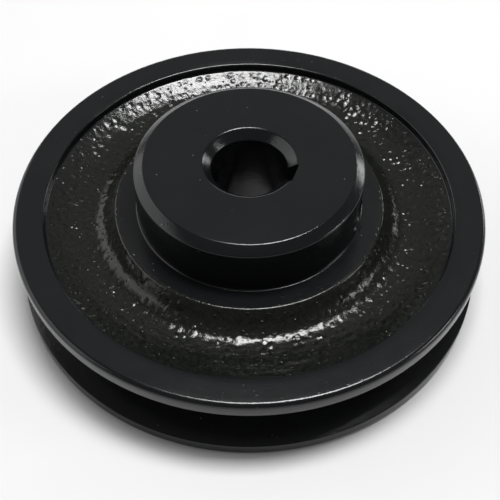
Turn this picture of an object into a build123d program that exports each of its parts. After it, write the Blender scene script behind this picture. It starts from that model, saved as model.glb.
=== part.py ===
from build123d import *
import math
import os

# Single-groove V-belt pulley with a fixed bore, in millimetres. It is one iron casting and the
# socket set screw that is threaded through the hub over the keyway. +Z runs along the bore
# towards the hub's nose, z = 0 is the middle plane of the belt groove, and the keyway and its
# set screw lie on the +X side.

INCH = 25.4

# ---- Driving dimensions: rim and belt groove (classical A section) ---------------------------
rim_diameter = 4.0 * INCH
rim_width = 0.75 * INCH
groove_top_width = 0.494 * INCH
groove_angle = 34.0
groove_depth = 11.7
rim_edge_round = 1.1
groove_edge_round = 0.25
groove_floor_fillet = 0.8

# ---- Driving dimensions: hub, bore and keyway -------------------------------------------------
bore_diameter = 0.6255 * INCH
keyway_width = 3 / 16 * INCH
keyway_far_wall = 18.0          # from the opposite side of the bore to the keyway's outer wall
hub_diameter = 48.3
hub_projection = 12.1           # hub's nose above the rim's front face
hub_chamfer_radial = 2.05
hub_chamfer_axial = 1.4
bore_chamfer_front = 1.9
bore_chamfer_back = 1.0
edge_break = 0.3                # turned corners of the hub and the bore
hub_foot_fillet = 0.4

# ---- Driving dimensions: cast recess between boss and rim, the same on both faces -------------
boss_radius = 28.9              # turned ledge round the hub in front, turned end face at the back
boss_edge_round = 0.6
boss_slope = 55.0               # slopes are degrees from the rim's plane
boss_foot_fillet = 4.8
recess_depth = 4.4
dish_start_radius = 38.5        # where the web begins to rise towards the rim
dish_slope = 23.5
dish_fillet = 13.5
wall_foot_radius = 44.05        # short steep wall under the rim's lip
wall_top_radius = 44.2
wall_foot_fillet = 0.4
lip_edge_round = 0.5
lip_slope = 13.0                # the rim's face falls away towards the recess
lip_start_radius = 45.7
lip_start_round = 1.5

# ---- Driving dimensions: set screw, 1/4 inch, hexagon socket, cup point ------------------------
screw_diameter = 0.25 * INCH
screw_length = 0.5 * INCH
screw_height = 4.2              # axis above the rim's front face
screw_sink = 0.4                # outer end below the hub's side at rest
screw_end_chamfer = 0.5
screw_point_diameter = 3.35
cup_diameter = 2.6
cup_angle = 118.0
socket_across_flats = 0.125 * INCH
socket_depth = 3.2
screw_clearance = 0.05          # radial, between the screw and its hole
hole_mouth_chamfer = 0.5

# ---- Derived places ---------------------------------------------------------------------------
rim_radius = rim_diameter / 2
bore_radius = bore_diameter / 2
hub_radius = hub_diameter / 2
front_face = rim_width / 2
back_face = -front_face
hub_nose = front_face + hub_projection
keyway_wall = keyway_far_wall - bore_radius
floor_radius = rim_radius - groove_depth
floor_half_width = groove_top_width / 2 - groove_depth * math.tan(math.radians(groove_angle / 2))
screw_radius = screw_diameter / 2
hole_radius = screw_radius + screw_clearance
screw_axis_height = front_face + screw_height
screw_outer_end = hub_radius - screw_sink
screw_inner_end = screw_outer_end - screw_length


def hub_corners():
    """Bore and hub, from the back of the bore to the ledge: (radius, height, rounding)."""
    return [
        (bore_radius + bore_chamfer_back, back_face, edge_break),
        (bore_radius, back_face + bore_chamfer_back, edge_break),
        (bore_radius, hub_nose - bore_chamfer_front, edge_break),
        (bore_radius + bore_chamfer_front, hub_nose, edge_break),
        (hub_radius - hub_chamfer_radial, hub_nose, edge_break),
        (hub_radius, hub_nose - hub_chamfer_axial, edge_break),
        (hub_radius, front_face, hub_foot_fillet),
    ]


def recess_corners(face, side):
    """Cast recess in one face, from the boss outwards; side is +1 in front and -1 behind."""
    floor = face - side * recess_depth
    slope_run = recess_depth / math.tan(math.radians(boss_slope))
    dish_rise = (wall_foot_radius - dish_start_radius) * math.tan(math.radians(dish_slope))
    lip_fall = (lip_start_radius - wall_top_radius) * math.tan(math.radians(lip_slope))
    return [
        (boss_radius, face, boss_edge_round),
        (boss_radius + slope_run, floor, boss_foot_fillet),
        (dish_start_radius, floor, dish_fillet),
        (wall_foot_radius, floor + side * dish_rise, wall_foot_fillet),
        (wall_top_radius, face - side * lip_fall, lip_edge_round),
        (lip_start_radius, face, lip_start_round),
    ]


def rim_corners():
    """Outer lands and the belt groove, from front to back."""
    half_top = groove_top_width / 2
    return [
        (rim_radius, front_face, rim_edge_round),
        (rim_radius, half_top, groove_edge_round),
        (floor_radius, floor_half_width, groove_floor_fillet),
        (floor_radius, -floor_half_width, groove_floor_fillet),
        (rim_radius, -half_top, groove_edge_round),
        (rim_radius, back_face, rim_edge_round),
    ]


def turned_body():
    """The whole section turned round the bore's axis."""
    corners = hub_corners() + recess_corners(front_face, 1) + rim_corners()
    corners += reversed(recess_corners(back_face, -1))
    points = [(radius, 0, height) for radius, height, rounding in corners]
    roundings = [rounding for radius, height, rounding in corners]
    outline = FilletPolyline(*points, radius=roundings, close=True)
    section = Face(Wire(outline.edges()))
    return revolve(section, Axis.Z, 360)


def keyway():
    """Slot broached along the whole bore, reaching from the axis to the keyway's outer wall."""
    slot = Box(keyway_wall, keyway_width, 3 * rim_width)
    return Pos(keyway_wall / 2, 0, hub_nose / 2) * slot


def along_x(profile_points):
    """Solid of revolution about the set screw's axis, from (distance from bore axis, radius)."""
    points = [(x, 0, screw_axis_height + radius) for x, radius in profile_points]
    section = Face(Wire(Polyline(*points, close=True).edges()))
    screw_axis = Axis((0, 0, screw_axis_height), (1, 0, 0))
    return revolve(section, screw_axis, 360)


def screw_hole():
    """Tapped hole from the bore out through the hub's side, with a chamfered mouth."""
    mouth_radius = hole_radius + hole_mouth_chamfer
    outside = hub_radius + hole_mouth_chamfer
    return along_x([
        (bore_radius / 2, 0),
        (bore_radius / 2, hole_radius),
        (hub_radius - hole_mouth_chamfer, hole_radius),
        (hub_radius, mouth_radius),
        (outside, mouth_radius),
        (outside, 0),
    ])


def hexagon_socket():
    """Driving socket in the screw's outer end, with the drill's cone at its bottom."""
    mouth = Plane(origin=(screw_outer_end, 0, screw_axis_height), x_dir=(0, 1, 0), z_dir=(-1, 0, 0))
    hexagon = mouth * RegularPolygon(socket_across_flats / 2, 6, major_radius=False)
    prism = extrude(hexagon, socket_depth)
    drill_radius = socket_across_flats / 2
    bottom = screw_outer_end - socket_depth
    cone = along_x([(bottom, 0), (bottom, drill_radius), (bottom - drill_radius / 2, 0)])
    return prism + cone


def make_pulley_casting():
    """Rim, web and hub in one piece of iron, broached and drilled."""
    return turned_body() - keyway() - screw_hole()


def make_set_screw():
    """Socket set screw: chamfered outer end, cup point towards the shaft."""
    point_radius = screw_point_diameter / 2
    point_taper = screw_radius - point_radius
    cup_radius = cup_diameter / 2
    cup_depth = cup_radius / math.tan(math.radians(cup_angle / 2))
    blank = along_x([
        (screw_inner_end + cup_depth, 0),
        (screw_inner_end, cup_radius),
        (screw_inner_end, point_radius),
        (screw_inner_end + point_taper, screw_radius),
        (screw_outer_end - screw_end_chamfer, screw_radius),
        (screw_outer_end, screw_radius - screw_end_chamfer),
        (screw_outer_end, 0),
    ])
    return blank - hexagon_socket()


os.makedirs("parts", exist_ok=True)
export_step(make_pulley_casting(), "parts/pulley_casting.step")
export_step(make_set_screw(), "parts/set_screw.step")
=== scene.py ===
import math

import bpy
import numpy as np
from mathutils import Matrix, Vector, kdtree, noise


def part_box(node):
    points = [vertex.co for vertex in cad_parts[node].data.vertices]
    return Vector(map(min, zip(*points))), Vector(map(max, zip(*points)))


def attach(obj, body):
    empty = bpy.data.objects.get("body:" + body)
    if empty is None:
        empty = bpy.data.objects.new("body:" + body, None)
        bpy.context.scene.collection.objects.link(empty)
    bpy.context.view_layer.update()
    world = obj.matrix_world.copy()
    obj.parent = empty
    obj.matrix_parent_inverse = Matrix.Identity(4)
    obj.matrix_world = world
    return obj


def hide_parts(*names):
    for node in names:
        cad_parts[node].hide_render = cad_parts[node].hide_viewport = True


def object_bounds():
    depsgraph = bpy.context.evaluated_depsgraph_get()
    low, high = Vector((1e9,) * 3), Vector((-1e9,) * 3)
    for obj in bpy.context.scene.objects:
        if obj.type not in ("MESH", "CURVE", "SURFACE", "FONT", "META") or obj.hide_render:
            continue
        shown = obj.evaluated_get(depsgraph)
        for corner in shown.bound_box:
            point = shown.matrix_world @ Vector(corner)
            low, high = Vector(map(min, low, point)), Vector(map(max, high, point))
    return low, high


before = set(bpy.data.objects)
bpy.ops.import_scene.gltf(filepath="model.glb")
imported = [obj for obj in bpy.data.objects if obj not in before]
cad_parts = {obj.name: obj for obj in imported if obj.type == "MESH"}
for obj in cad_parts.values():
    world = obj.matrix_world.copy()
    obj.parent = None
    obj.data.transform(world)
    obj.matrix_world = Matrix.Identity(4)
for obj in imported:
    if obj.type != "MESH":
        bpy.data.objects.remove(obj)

cad_low, cad_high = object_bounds()

# A cast-iron V-belt pulley in black paint, standing on its back face and seen from above. Lengths
# are metres. +Z is the bore's axis, z = 0 the groove's middle plane, and +X goes through the keyway.
MM = 0.001

# ---- Sizes of the section, as in the CAD model, with the rim's and hub's ends read from the frame
rim_radius = cad_high.x
front_face = rim_radius * 3 / 16
back_face = cad_low.z
hub_nose = cad_high.z
screw_low, screw_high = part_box("set_screw")
screw_radius = (screw_high.z - screw_low.z) / 2
screw_height = (screw_high.z + screw_low.z) / 2

groove_half_top = 6.274 * MM
groove_depth = 11.7 * MM
groove_half_angle = math.radians(17)
bore_radius = 7.944 * MM
keyway_half_width = 2.381 * MM
keyway_wall = 10.056 * MM
hub_radius = 24.15 * MM
hub_chamfer = (2.05 * MM, 1.4 * MM)
bore_chamfer_front = 1.9 * MM
bore_chamfer_back = 1.0 * MM
boss_radius = 28.9 * MM
recess_depth = 4.4 * MM
boss_slope = math.radians(55)
dish_start = 38.5 * MM
dish_slope = math.radians(23.5)
wall_foot = 44.05 * MM
wall_top = 44.2 * MM
lip_slope = math.radians(13)
lip_start = 45.7 * MM

edge_round = 0.7 * MM           # the hub's and the bore's turned corners under their paint
hub_foot_fillet = 0.4 * MM
boss_edge_round = 0.6 * MM
boss_foot_fillet = 4.8 * MM
dish_fillet = 13.5 * MM
wall_foot_fillet = 0.4 * MM
lip_edge_round = 0.5 * MM
lip_start_round = 1.5 * MM
rim_edge_round = 1.1 * MM
groove_edge_round = 0.25 * MM
groove_floor_fillet = 0.8 * MM

# ---- Where the surface is sand-cast: between two radii, and off the middle plane
cast_inner = 28.8 * MM
cast_outer = 43.95 * MM
cast_blend = 0.8 * MM
cast_off_middle = 4.6 * MM
ledge_grain_start = 28.1 * MM   # grainy paint on the ledge's outer edge, without relief
ledge_grain_blend = 0.4 * MM
ledge_grain_end = 30 * MM
ledge_off_middle = 7 * MM

# ---- Set screw and tapped hole
thread_pitch = 1.27 * MM
thread_depth = 0.55 * MM
tapped_depth = 0.8 * thread_depth
hole_clearance = 0.05 * MM
hole_mouth_chamfer = 0.5 * MM
hole_step = 0.12 * MM
screw_step = 0.09 * MM
screw_end_chamfer = 0.5 * MM
point_radius = 1.675 * MM
cup_radius = 1.3 * MM
cup_depth = 0.78 * MM
cup_rim_half = 0.05 * MM        # half the width of the cup's blunt rim
cup_rim_sink = 0.06 * MM
socket_half_across = 1.5875 * MM
socket_depth = 3.2 * MM
socket_mouth = (0.25 * MM, 0.18 * MM)   # the hexagon's chamfer, across and deep
socket_slack = 0.02 * MM
drill_cone = (0.1 * MM, 0.8 * MM)       # from the hexagon's end to the cone's start and tip
tip_radius = 0.05 * MM

# ---- Sand-cast relief: low pebbles, standing grains, coarse patches and three sizes of waviness
pebble_start = 27 * MM
pebble_end = 46 * MM
pebble_spacing = 1.35 * MM
pebble_shift = 0.4              # of the spacing, at random either way
pebble_radii = (0.6, 1.1)       # mm
pebble_height = 0.13 * MM
patch_height = 0.16 * MM
grain_share = 0.04
grain_radii = (0.33, 0.5)       # mm
grain_heights = (0.10, 0.20)    # mm
wave_heights = (0.05, 0.024, 0.016)     # mm, coarse to fine
relief_sink = 0.03 * MM         # keeps the relief's mean about on the turned section

# ---- Mesh fineness
segments = 1200                 # round the axis
cast_step = 0.22 * MM           # along the section on cast surfaces
turned_step = 1.0 * MM          # along the section on turned surfaces
arc_step = math.radians(9)

# ---- View: the camera looks along the studio's +Y, and the keyway is this far round to its right
camera_azimuth = 18.8
to_studio = Matrix.Rotation(math.radians(camera_azimuth), 4, "Z")
camera_elevation = math.radians(48.711)
camera_distance = 4.164 * rim_radius
camera_dip = math.radians(2.938)        # aimed this much below the front face's centre
camera_yaw = math.radians(0.091)
camera_roll = math.radians(0.153)
camera_lens = 70.3
floor_reach = 15.0
world_light = 0.14


# ================================ Section of the casting ====================================

def hub_corners():
    """Bore and hub, from the back of the bore to the ledge: (radius, height, rounding)."""
    return [
        (bore_radius + bore_chamfer_back, back_face, edge_round),
        (bore_radius, back_face + bore_chamfer_back, edge_round),
        (bore_radius, hub_nose - bore_chamfer_front, edge_round),
        (bore_radius + bore_chamfer_front, hub_nose, edge_round),
        (hub_radius - hub_chamfer[0], hub_nose, edge_round),
        (hub_radius, hub_nose - hub_chamfer[1], edge_round),
        (hub_radius, front_face, hub_foot_fillet),
    ]


def recess_corners(face, side):
    """Cast recess in one face, from the boss outwards; side is +1 in front and -1 behind."""
    floor = face - side * recess_depth
    slope_run = recess_depth / math.tan(boss_slope)
    dish_rise = (wall_foot - dish_start) * math.tan(dish_slope)
    lip_fall = (lip_start - wall_top) * math.tan(lip_slope)
    return [
        (boss_radius, face, boss_edge_round),
        (boss_radius + slope_run, floor, boss_foot_fillet),
        (dish_start, floor, dish_fillet),
        (wall_foot, floor + side * dish_rise, wall_foot_fillet),
        (wall_top, face - side * lip_fall, lip_edge_round),
        (lip_start, face, lip_start_round),
    ]


def rim_corners():
    """Outer lands and the belt groove, from front to back."""
    floor_radius = rim_radius - groove_depth
    floor_half = groove_half_top - groove_depth * math.tan(groove_half_angle)
    return [
        (rim_radius, front_face, rim_edge_round),
        (rim_radius, groove_half_top, groove_edge_round),
        (floor_radius, floor_half, groove_floor_fillet),
        (floor_radius, -floor_half, groove_floor_fillet),
        (rim_radius, -groove_half_top, groove_edge_round),
        (rim_radius, back_face, rim_edge_round),
    ]


def rounded(corners):
    """Closed outline through the corners, each replaced by its tangent arc."""
    outline = []
    count = len(corners)
    for i, (r, z, rounding) in enumerate(corners):
        here = Vector((r, z))
        before = (Vector(corners[i - 1][:2]) - here).normalized()
        after = (Vector(corners[(i + 1) % count][:2]) - here).normalized()
        inside_angle = before.angle(after)
        turn = math.pi - inside_angle
        centre = here + (before + after).normalized() * (rounding / math.sin(inside_angle / 2))
        start = here + before * (rounding / math.tan(inside_angle / 2))
        spoke = start - centre
        direction = 1 if before.x * after.y - before.y * after.x < 0 else -1
        steps = max(2, math.ceil(turn / arc_step))
        for k in range(steps + 1):
            angle = direction * turn * k / steps
            cos_a, sin_a = math.cos(angle), math.sin(angle)
            turned = Vector((spoke.x * cos_a - spoke.y * sin_a, spoke.x * sin_a + spoke.y * cos_a))
            outline.append(centre + turned)
    return outline


def cast_weight(r, z):
    """1 on the sand-cast recess surfaces and 0 on the turned ones, with a short blend."""
    inner = np.clip((r - cast_inner) / cast_blend, 0, 1)
    outer = np.clip((cast_outer - r) / cast_blend, 0, 1)
    return inner * outer * (np.abs(z) > cast_off_middle)


def refined(outline):
    """The outline with points added so that no step is longer than its surface allows."""
    points = []
    for i, here in enumerate(outline):
        following = outline[(i + 1) % len(outline)]
        middle = (here + following) / 2
        step = cast_step if cast_weight(middle.x, middle.y) > 0.01 else turned_step
        pieces = max(1, math.ceil((following - here).length / step))
        points += [here.lerp(following, k / pieces) for k in range(pieces)]
    return np.array([(p.x, p.y) for p in points])


# ================================ Mesh helpers ==============================================

def grid_mesh(name, rows, closed_rows, closed_columns, caps=False):
    """Mesh from an array of shape (rows, columns, 3), with quads between neighbours."""
    n_rows, n_columns = rows.shape[:2]
    index = np.arange(n_rows * n_columns).reshape(n_rows, n_columns)
    up = np.roll(index, -1, axis=0)
    side = np.roll(index, -1, axis=1)
    both = np.roll(up, -1, axis=1)
    quads = np.stack([index, side, both, up], axis=-1)
    if not closed_rows:
        quads = quads[:-1]
    if not closed_columns:
        quads = quads[:, :-1]
    faces = quads.reshape(-1, 4).tolist()
    vertices = rows.reshape(-1, 3)
    if caps:
        ends = np.stack([rows[0].mean(axis=0), rows[-1].mean(axis=0)])
        first, last = len(vertices), len(vertices) + 1
        vertices = np.concatenate([vertices, ends])
        for k in range(n_columns):
            following = (k + 1) % n_columns
            faces.append([first, int(index[0, following]), int(index[0, k])])
            faces.append([last, int(index[-1, k]), int(index[-1, following])])
    mesh = bpy.data.meshes.new(name)
    mesh.from_pydata(vertices.tolist(), [], faces)
    mesh.validate()
    mesh.update()
    piece = bpy.data.objects.new(name, mesh)
    bpy.context.collection.objects.link(piece)
    return piece


def revolved(outline, count):
    """Rows of points for the outline turned round Z: one row per outline point."""
    angles = np.linspace(0, 2 * math.pi, count, endpoint=False) + math.pi / count
    ring = np.stack([np.cos(angles), np.sin(angles), np.zeros(count)], axis=-1)
    rows = outline[:, 0][:, None, None] * ring[None]
    rows[..., 2] = outline[:, 1][:, None]
    return rows


def cut(piece, cutter):
    """Takes the cutter's solid out of the piece and deletes the cutter."""
    step = piece.modifiers.new("cut", "BOOLEAN")
    step.operation = "DIFFERENCE"
    step.solver = "EXACT"
    step.object = cutter
    bpy.context.view_layer.objects.active = piece
    bpy.ops.object.modifier_apply(modifier=step.name)
    bpy.data.objects.remove(cutter)


def block(name, low, high):
    """Closed box between two corners, used as a cutter."""
    corners = [(x, y, z) for x in (low[0], high[0]) for y in (low[1], high[1]) for z in (low[2], high[2])]
    faces = [(0, 1, 3, 2), (4, 6, 7, 5), (0, 4, 5, 1), (2, 3, 7, 6), (0, 2, 6, 4), (1, 5, 7, 3)]
    mesh = bpy.data.meshes.new(name)
    mesh.from_pydata(corners, [], faces)
    piece = bpy.data.objects.new(name, mesh)
    bpy.context.collection.objects.link(piece)
    return piece


def smooth(piece, sharp_angle):
    """Smooth shading, with edges over the angle (degrees) left sharp."""
    piece.data.polygons.foreach_set("use_smooth", [True] * len(piece.data.polygons))
    piece.data.set_sharp_from_angle(angle=math.radians(sharp_angle))


# ================================ Thread, screw and tapped hole =============================

def thread_wave(phase):
    """Rounded saw profile of a thread: 0 at the crest and 1 at the root."""
    wave = np.abs((phase % 1.0) * 2 - 1)
    return np.clip(wave * 1.25 - 0.12, 0, 1)


def threaded_rows(x_values, radii, depth, columns=72):
    """Rows round the set screw's axis, with a helical thread of the given depth (+ is inwards)."""
    angles = np.linspace(0, 2 * math.pi, columns, endpoint=False)
    x = np.asarray(x_values)[:, None] * np.ones(columns)
    phase = x / thread_pitch - angles / (2 * math.pi)
    radius = np.asarray(radii)[:, None] - depth * thread_wave(phase)
    return np.stack([x, radius * np.cos(angles), screw_height + radius * np.sin(angles)], axis=-1)


def limit_radius(rows, limit, radii):
    """Moves the rows' points to or from the screw's axis, by np.minimum or np.maximum with radii."""
    distance = np.hypot(rows[..., 1], rows[..., 2] - screw_height)
    scale = limit(distance, radii[:, None]) / distance
    rows[..., 1] *= scale
    rows[..., 2] = screw_height + (rows[..., 2] - screw_height) * scale


def tapped_hole_cutter():
    """Threaded plug that leaves the tapped hole: from the bore to beyond the hub's side."""
    hole_radius = screw_radius + hole_clearance
    mouth = hub_radius - hole_mouth_chamfer
    x = np.arange(bore_radius * 0.6, mouth + thread_pitch, hole_step)
    flare = np.clip(x - mouth, 0, None)
    radii = hole_radius + tapped_depth + np.clip(flare - tapped_depth, 0, None)
    rows = threaded_rows(x, radii, tapped_depth)
    limit_radius(rows, np.maximum, hole_radius + flare)
    return grid_mesh("hole_cutter", rows, False, True, caps=True)


def make_set_screw():
    """Socket set screw: rolled thread, chamfered outer end, hexagon socket and cup point."""
    inner, outer = screw_low.x, screw_high.x
    x = np.append(np.arange(inner, outer, screw_step), outer)
    point = np.minimum(point_radius + (x - inner), screw_radius)
    blank = np.minimum(point, screw_radius - screw_end_chamfer + (outer - x))
    rows = threaded_rows(x, np.full(len(x), screw_radius), thread_depth)
    limit_radius(rows, np.minimum, blank)
    columns = rows.shape[1]
    angles = np.linspace(0, 2 * math.pi, columns, endpoint=False)

    def ring(x_place, radius):
        """One row round the screw's axis, with one radius or a radius for each column."""
        y = radius * np.cos(angles)
        z = screw_height + radius * np.sin(angles)
        return np.stack([np.full(columns, x_place), y, z], axis=-1)

    hexagon = socket_half_across / np.cos((angles + math.pi / 6) % (math.pi / 3) - math.pi / 6)
    bottom = outer - socket_depth
    cup = [
        ring(inner + cup_depth, tip_radius),
        ring(inner + cup_rim_sink, cup_radius - cup_rim_half),
        ring(inner, cup_radius + cup_rim_half),
    ]
    socket = [
        ring(outer, hexagon + socket_mouth[0]),
        ring(outer - socket_mouth[1], hexagon + socket_slack),
        ring(bottom, hexagon),
        ring(bottom - drill_cone[0], socket_half_across * 0.95),
        ring(bottom - drill_cone[1], tip_radius),
    ]
    rows = np.concatenate([np.array(cup), rows, np.array(socket)])
    piece = grid_mesh("set_screw_detailed", rows[:, ::-1], False, True, caps=True)
    smooth(piece, 35)
    return piece


# ================================ Casting ===================================================

def pebbles():
    """Low round grains over both recesses: a search tree of centres, their radii and heights."""
    chance = np.random.default_rng(11)
    centres = []
    for row, ring in enumerate(np.arange(pebble_start, pebble_end, pebble_spacing)):
        count = int(2 * math.pi * ring / pebble_spacing)
        shifts = chance.uniform(-pebble_shift, pebble_shift, (count, 2))
        for k, (along, across) in enumerate(shifts):
            angle = (k + 0.5 * (row % 2) + along) * 2 * math.pi / count
            radius = ring + across * pebble_spacing
            centres.append((radius * math.cos(angle), radius * math.sin(angle)))
    tree = kdtree.KDTree(len(centres))
    for i, (x, y) in enumerate(centres):
        tree.insert((x, y, 0), i)
    tree.balance()
    radii = chance.uniform(*pebble_radii, len(centres)) * MM
    heights = chance.uniform(0.0, 1.0, len(centres)) ** 2 * pebble_height
    for i, (x, y) in enumerate(centres):
        heights[i] += rough_patch(x, y) * chance.uniform(0.2, 1.0) * patch_height
        if chance.uniform() < grain_share:
            radii[i] = chance.uniform(*grain_radii) * MM
            heights[i] = chance.uniform(*grain_heights) * MM
    return tree, radii, heights


def ramp(value, start, width):
    """0 up to the start, then rising to 1 over the width; a negative width falls from 1 to 0."""
    return min(1.0, max(0.0, (value - start) / width))


def rough_patch(x, y):
    """1 in the coarse patches of casting skin, which lie on one side of the web."""
    angle = math.degrees(math.atan2(y, x)) - camera_azimuth
    radius = math.hypot(x, y) / MM
    window = ramp(angle, 8, 6) * ramp(angle, 80, -10)
    band = ramp(radius, 34.5, 1.0) * ramp(radius, 42.0, -1.2)
    patches = noise.noise(Vector((x * 210 + 4, y * 210 - 9, 3)))
    return window * band * min(1.0, max(0.0, patches * 5 + 0.6))


def sand_relief(points):
    """Height of the sand-cast and painted surface at each point, in metres."""
    tree, radii, dome_heights = pebbles()
    heights = np.empty(len(points))
    coarse_height, middle_height, fine_height = wave_heights
    for i, (x, y, z) in enumerate(points):
        coarse = noise.noise(Vector((x * 150, y * 150, z * 150)))
        middle = noise.noise(Vector((x * 520 + 7, y * 520, z * 520)))
        dome = 0.0
        for place, k, distance in tree.find_n((x, y, 0), 3):
            dome = max(dome, dome_heights[k] * (1 - (distance / radii[k]) ** 2))
        fine = noise.noise(Vector((x * 1150 - 3, y * 1150 + 11, z * 1150)))
        waves = coarse_height * coarse + middle_height * middle + fine_height * fine
        heights[i] = waves * MM + dome
    return heights


def make_casting():
    """Turned section, broached and drilled, with the sand-cast relief on the recess surfaces."""
    corners = hub_corners() + recess_corners(front_face, 1) + rim_corners()
    corners += reversed(recess_corners(back_face, -1))
    outline = refined(rounded(corners))
    piece = grid_mesh("pulley_casting_detailed", revolved(outline, segments)[:, ::-1], True, True)
    reach = rim_radius
    cut(piece, block("keyway_cutter", (bore_radius * 0.5, -keyway_half_width, -reach),
                     (keyway_wall, keyway_half_width, reach)))
    cut(piece, tapped_hole_cutter())
    mesh = piece.data
    count = len(mesh.vertices)
    flat = np.empty(count * 3)
    mesh.vertices.foreach_get("co", flat)
    places = flat.reshape(-1, 3)
    normals = np.empty(count * 3)
    mesh.vertices.foreach_get("normal", normals)
    normals = normals.reshape(-1, 3)
    weight = cast_weight(np.hypot(places[:, 0], places[:, 1]), places[:, 2])
    chosen = np.nonzero(weight > 0)[0]
    relief = sand_relief(places[chosen]) - relief_sink
    places[chosen] += normals[chosen] * (relief * weight[chosen])[:, None]
    mesh.vertices.foreach_set("co", places.ravel())
    cast = mesh.attributes.new("cast", "FLOAT", "POINT")
    distance = np.hypot(places[:, 0], places[:, 1])
    ledge_edge = np.clip((distance - ledge_grain_start) / ledge_grain_blend, 0, 1)
    ledge_edge = ledge_edge * (distance < ledge_grain_end) * (np.abs(places[:, 2]) > ledge_off_middle)
    cast.data.foreach_set("value", np.maximum(weight, ledge_edge))
    mesh.update()
    smooth(piece, 40)
    return piece


# ================================ Materials =================================================

class Nodes:
    """Short ways to add and join shader nodes in one material."""

    def __init__(self, name):
        self.material = bpy.data.materials.new(name)
        self.material.use_nodes = True
        self.tree = self.material.node_tree
        self.tree.nodes.clear()
        self.output = self.tree.nodes.new("ShaderNodeOutputMaterial")
        self.shader = self.tree.nodes.new("ShaderNodeBsdfPrincipled")
        self.tree.links.new(self.shader.outputs["BSDF"], self.output.inputs["Surface"])

    def add(self, kind, **settings):
        """New node, with each setting put on its socket of that name or else on the node."""
        node = self.tree.nodes.new(kind)
        for key, value in settings.items():
            if key in node.inputs:
                node.inputs[key].default_value = value
            else:
                setattr(node, key, value)
        return node

    def join(self, source, target):
        """Link from an output socket to an input socket."""
        self.tree.links.new(source, target)

    def place(self):
        """Object coordinates, in metres."""
        return self.add("ShaderNodeTexCoord").outputs["Object"]

    def noise(self, scale, detail=3.0, roughness=0.5):
        """Noise from 0 to 1, with the given number of features a metre."""
        node = self.add("ShaderNodeTexNoise", Scale=scale, Detail=detail, Roughness=roughness)
        self.join(self.place(), node.inputs["Vector"])
        return node.outputs["Fac"]

    def specks(self, scale, size, share):
        """Small round domes, 0 to 1, in the given share of a Voronoi pattern's cells."""
        node = self.add("ShaderNodeTexVoronoi", Scale=scale)
        self.join(self.place(), node.inputs["Vector"])
        split = self.add("ShaderNodeSeparateColor")
        self.join(node.outputs["Color"], split.inputs["Color"])
        chosen = self.remap(split.outputs["Red"], 1 - share, 1 - share * 0.5, 0.0, 1.0)
        near = self.remap(self.math("POWER", node.outputs["Distance"], 2.0), 0.0, size * size, 1.0, 0.0)
        return self.math("MULTIPLY", chosen, near)

    def remap(self, source, low, high, to_low, to_high):
        """The source's range low..high carried to to_low..to_high, and held at its ends."""
        node = self.add("ShaderNodeMapRange")
        self.join(source, node.inputs["Value"])
        for key, value in (("From Min", low), ("From Max", high), ("To Min", to_low), ("To Max", to_high)):
            node.inputs[key].default_value = value
        return node.outputs["Result"]

    def math(self, operation, a, b):
        """A math node on two sockets or numbers."""
        node = self.add("ShaderNodeMath", operation=operation)
        for socket, value in zip(node.inputs, (a, b)):
            if isinstance(value, (int, float)):
                socket.default_value = value
            else:
                self.join(value, socket)
        return node.outputs["Value"]

    def mix(self, factor, a, b):
        """Blend from colour a to colour b, each a socket or a tuple."""
        node = self.add("ShaderNodeMix", data_type="RGBA")
        self.join(factor, node.inputs["Factor"])
        for socket, value in ((node.inputs[6], a), (node.inputs[7], b)):
            if isinstance(value, tuple):
                socket.default_value = (*value, 1)
            else:
                self.join(value, socket)
        return node.outputs[2]

    def bump(self, height, distance, strength=1.0, normal=None):
        """Normal bent by a height from 0 to 1, which stands for the given distance."""
        node = self.add("ShaderNodeBump", Strength=strength, Distance=distance)
        self.join(height, node.inputs["Height"])
        if normal is not None:
            self.join(normal, node.inputs["Normal"])
        return node.outputs["Normal"]


def black_paint():
    """Black enamel: smooth over turned iron, pebbled and olive-tinged over the sand casting."""
    n = Nodes("black_painted_iron_look")
    cast = n.add("ShaderNodeAttribute", attribute_name="cast").outputs["Fac"]
    tone = n.noise(120, 4.0)
    smooth_colour = n.mix(tone, (0.0038, 0.0042, 0.0048), (0.0056, 0.0060, 0.0066))
    mottle = n.remap(n.noise(1300, 2.0, 0.6), 0.35, 0.70, 0.0, 1.0)
    cast_colour = n.mix(mottle, (0.0036, 0.0042, 0.0034), (0.0092, 0.0100, 0.0082))
    colour = n.mix(cast, smooth_colour, cast_colour)
    dust = n.math("MULTIPLY", n.specks(900, 0.16, 0.035), 0.6)
    n.join(n.mix(dust, colour, (0.16, 0.16, 0.15)), n.shader.inputs["Base Color"])
    wipe = n.remap(n.noise(60, 5.0, 0.6), 0.3, 0.7, 0.14, 0.20)
    n.join(wipe, n.shader.inputs["Roughness"])
    orange_peel = n.bump(n.noise(480, 3.0), 0.035 * MM, 0.7)
    grit = n.bump(n.noise(3600, 3.0, 0.6), 0.030 * MM, 0.6, orange_peel)
    skin = n.math("MULTIPLY", n.noise(2100, 2.0, 0.6), cast)
    skin = n.bump(skin, 0.06 * MM, 0.7, grit)
    grain = n.math("MULTIPLY", n.specks(1300, 0.40, 0.16), n.remap(cast, 0.0, 1.0, 0.12, 1.0))
    n.join(n.bump(grain, 0.16 * MM, 1.0, skin), n.shader.inputs["Normal"])
    n.shader.inputs["IOR"].default_value = 1.42
    return n.material


def black_oxide():
    """Black oxide on steel, with the metal showing through on the crests."""
    n = Nodes("black_oxide_steel_look")
    worn = n.remap(n.noise(900, 4.0), 0.55, 0.75, 0.0, 0.5)
    n.join(n.mix(worn, (0.030, 0.029, 0.030), (0.16, 0.155, 0.15)), n.shader.inputs["Base Color"])
    n.join(n.remap(n.noise(400, 3.0), 0.3, 0.7, 0.30, 0.48), n.shader.inputs["Roughness"])
    n.join(n.bump(n.noise(2500, 3.0), 0.01 * MM, 0.5), n.shader.inputs["Normal"])
    n.shader.inputs["Metallic"].default_value = 0.8
    return n.material


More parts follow.
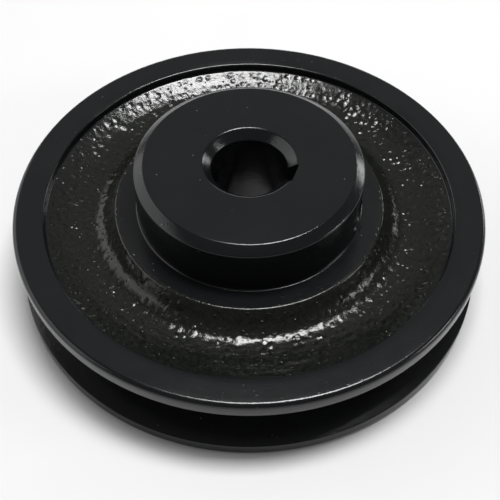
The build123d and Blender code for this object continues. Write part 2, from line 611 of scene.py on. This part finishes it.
def studio_paper():
    """Plain white paper for the floor."""
    n = Nodes("studio_paper")
    fibres = n.mix(n.noise(40, 4.0), (0.64, 0.64, 0.64), (0.66, 0.66, 0.66))
    n.join(fibres, n.shader.inputs["Base Color"])
    n.shader.inputs["Roughness"].default_value = 0.9
    n.shader.inputs["Specular IOR Level"].default_value = 0.1
    return n.material


# ================================ Studio ====================================================

def make_camera():
    """Camera in front of the pulley and above it, aimed a little below the front face's centre."""
    elevation, distance, yaw = camera_elevation, camera_distance, camera_yaw
    aim = elevation + camera_dip
    data = bpy.data.cameras.new("camera")
    data.sensor_width = 36.0
    data.lens = camera_lens
    camera = bpy.data.objects.new("camera", data)
    bpy.context.collection.objects.link(camera)
    place = Vector((0, -distance * math.cos(elevation), distance * math.sin(elevation)))
    forward = Vector((math.sin(yaw) * math.cos(aim), math.cos(yaw) * math.cos(aim), -math.sin(aim)))
    right = Vector((math.cos(yaw), -math.sin(yaw), 0))
    up = right.cross(forward)
    turn = Matrix((right, up, -forward)).transposed().to_4x4()
    roll = Matrix.Rotation(camera_roll, 4, "Z")
    stand = Matrix.Translation(place + Vector((0, 0, front_face)))
    camera.matrix_world = to_studio @ stand @ turn @ roll
    data.clip_start, data.clip_end = 0.01, 20
    bpy.context.scene.camera = camera


def panel(name, direction, distance, size, radiance):
    """Soft box of the given radiance, seen from the pulley in a direction (azimuth, elevation)."""
    azimuth, elevation = map(math.radians, direction)
    level_reach = math.cos(elevation)
    out = Vector((math.cos(azimuth) * level_reach, math.sin(azimuth) * level_reach, math.sin(elevation)))
    overhead = direction[1] > 70
    level = Vector((0, 1, 0)) if overhead else Vector((0, 0, 1))
    across = level.cross(out).normalized()
    data = bpy.data.lights.new(name, "AREA")
    data.shape = "RECTANGLE"
    data.size, data.size_y = size
    data.energy = radiance * math.pi * size[0] * size[1]
    lamp = bpy.data.objects.new(name, data)
    bpy.context.collection.objects.link(lamp)
    facing = Matrix((across, out.cross(across), out)).transposed().to_4x4()
    lamp.matrix_world = to_studio @ Matrix.Translation(out * distance) @ facing


def make_studio():
    """White floor, overhead soft box, wide panel on the left, two small lights on the right and
    two pale panels behind."""
    ends = (-floor_reach, floor_reach)
    floor = grid_mesh("floor", np.array([[(x, y, back_face) for x in ends] for y in ends]), False, False)
    floor.data.materials.append(studio_paper())
    panel("overhead", (40, 81.5), 1.0, (0.45, 0.22), 38.0)
    panel("left_panel", (168, 24), 1.2, (1.85, 0.85), 1.45)
    panel("right_lamp", (38, 12), 1.2, (0.29, 0.21), 7.0)
    panel("right_window", (-10, 22), 1.2, (0.36, 0.20), 11.0)
    panel("back_panel", (92, 50), 1.4, (1.75, 0.8), 0.20)
    panel("backdrop", (90, 5), 1.6, (1.0, 0.22), 4.5)
    world = bpy.data.worlds.new("studio")
    bpy.context.scene.world = world
    world.use_nodes = True
    background = world.node_tree.nodes["Background"]
    background.inputs["Color"].default_value = (1, 1, 1, 1)
    background.inputs["Strength"].default_value = world_light
    bpy.context.scene.view_settings.view_transform = "Standard"


# ================================ Build =====================================================

casting = make_casting()
casting.data.materials.clear()
casting.data.materials.append(black_paint())
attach(casting, "pulley")
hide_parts("pulley_casting")

set_screw = make_set_screw()
set_screw.data.materials.append(black_oxide())
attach(set_screw, "set_screw")
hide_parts("set_screw")

make_camera()
make_studio()
